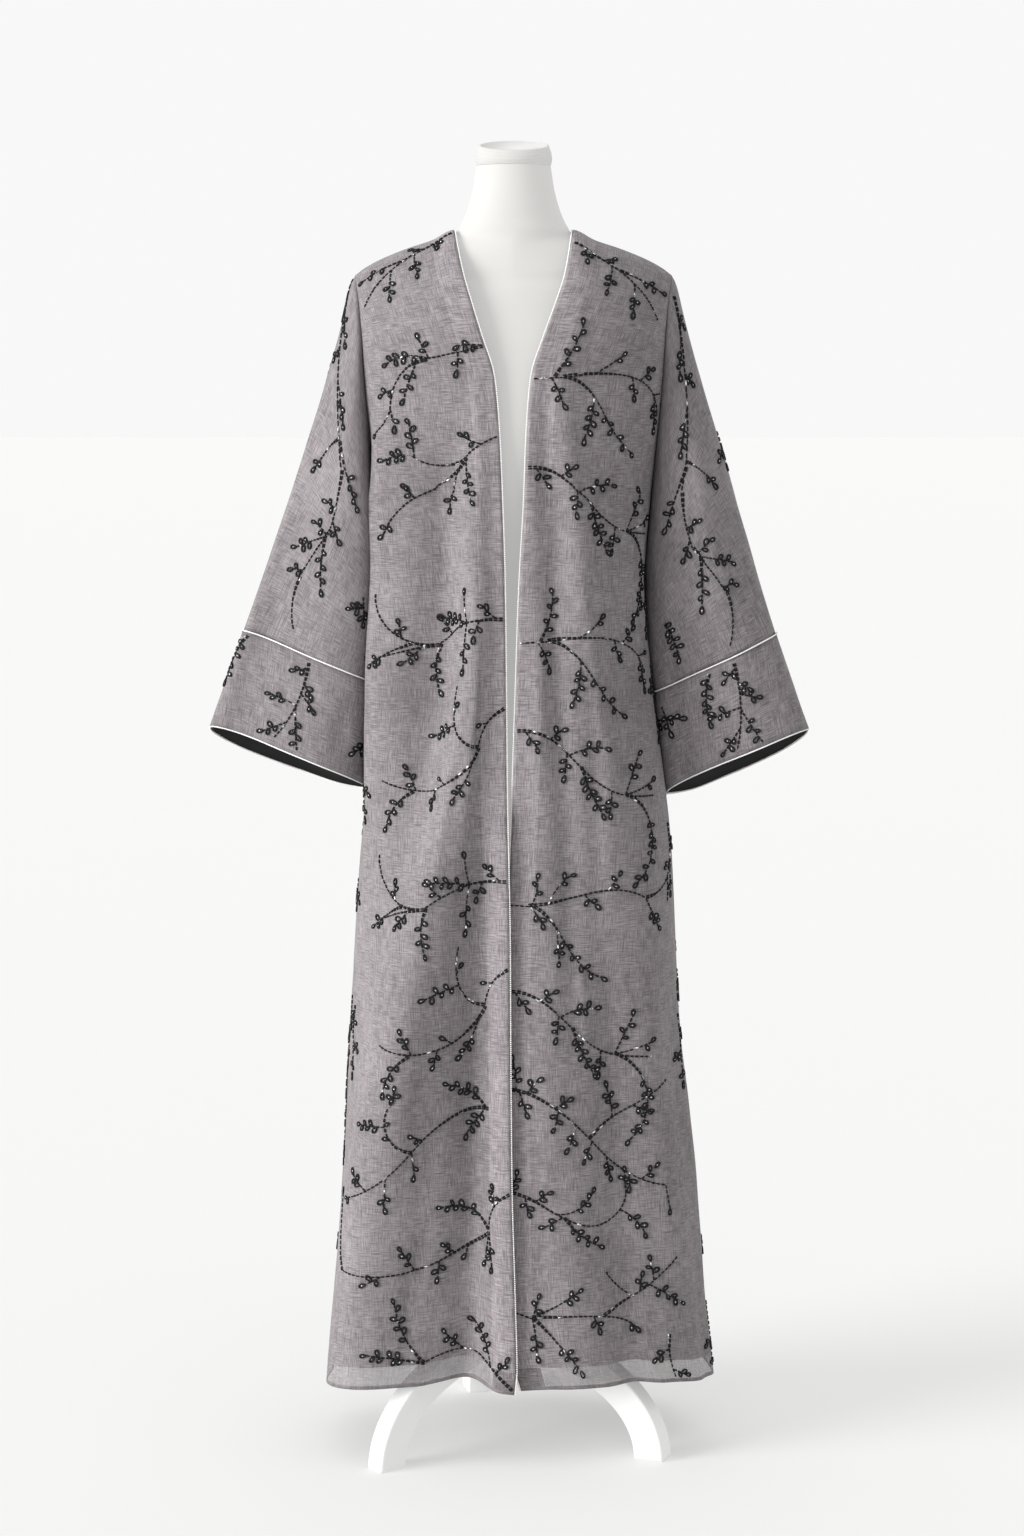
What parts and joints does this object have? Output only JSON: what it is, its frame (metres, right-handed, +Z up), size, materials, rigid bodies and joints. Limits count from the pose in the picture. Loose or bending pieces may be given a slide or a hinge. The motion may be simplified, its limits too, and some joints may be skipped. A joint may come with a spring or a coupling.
{
  "type": "open-front abaya on a dress form",
  "caption": "Full-length open-front robe with wide cuffed sleeves, worn by a limbless dress form on a three-legged stand.",
  "frame": {"origin": "on the floor, under the middle of the whole part's box", "axes": "+Z up, +X to the right of someone who faces the front, +Y towards the back: the garment's front faces -Y"},
  "size_m": [0.7177, 0.3589, 1.5681],
  "materials": {
    "outer_cloth": "slubby linen-look weave, matt, slightly sheer",
    "facing_cloth": "the same cloth, turned inside the front edge",
    "cuff_cloth": "the same cloth, in a deep cuff",
    "lining": "smooth black lining",
    "piping": "strung white seed beads",
    "form_skin": "white, smooth and matt",
    "form_cap": "white fine knit band",
    "stand_paint": "white satin paint"
  },
  "bodies": {
    "root": {"back": "outer_cloth", "front_left": "outer_cloth", "front_right": "outer_cloth", "facing_left": "facing_cloth", "facing_right": "facing_cloth", "lining_back": "lining", "lining_front_left": "lining", "lining_front_right": "lining", "sleeve_left": "outer_cloth", "sleeve_right": "outer_cloth", "cuff_left": "cuff_cloth", "cuff_right": "cuff_cloth", "lining_sleeve_left": "lining", "lining_sleeve_right": "lining", "piping_front_left": "piping", "piping_front_right": "piping", "piping_neck": "piping", "piping_cuff_seam_left": "piping", "piping_cuff_seam_right": "piping", "piping_cuff_hem_left": "piping", "piping_cuff_hem_right": "piping", "form_torso": "form_skin", "form_neck_cap": "form_cap", "stand_pole": "stand_paint", "stand_hub": "stand_paint", "stand_leg_1": "stand_paint", "stand_leg_2": "stand_paint", "stand_leg_3": "stand_paint"}
  },
  "joints": []
}
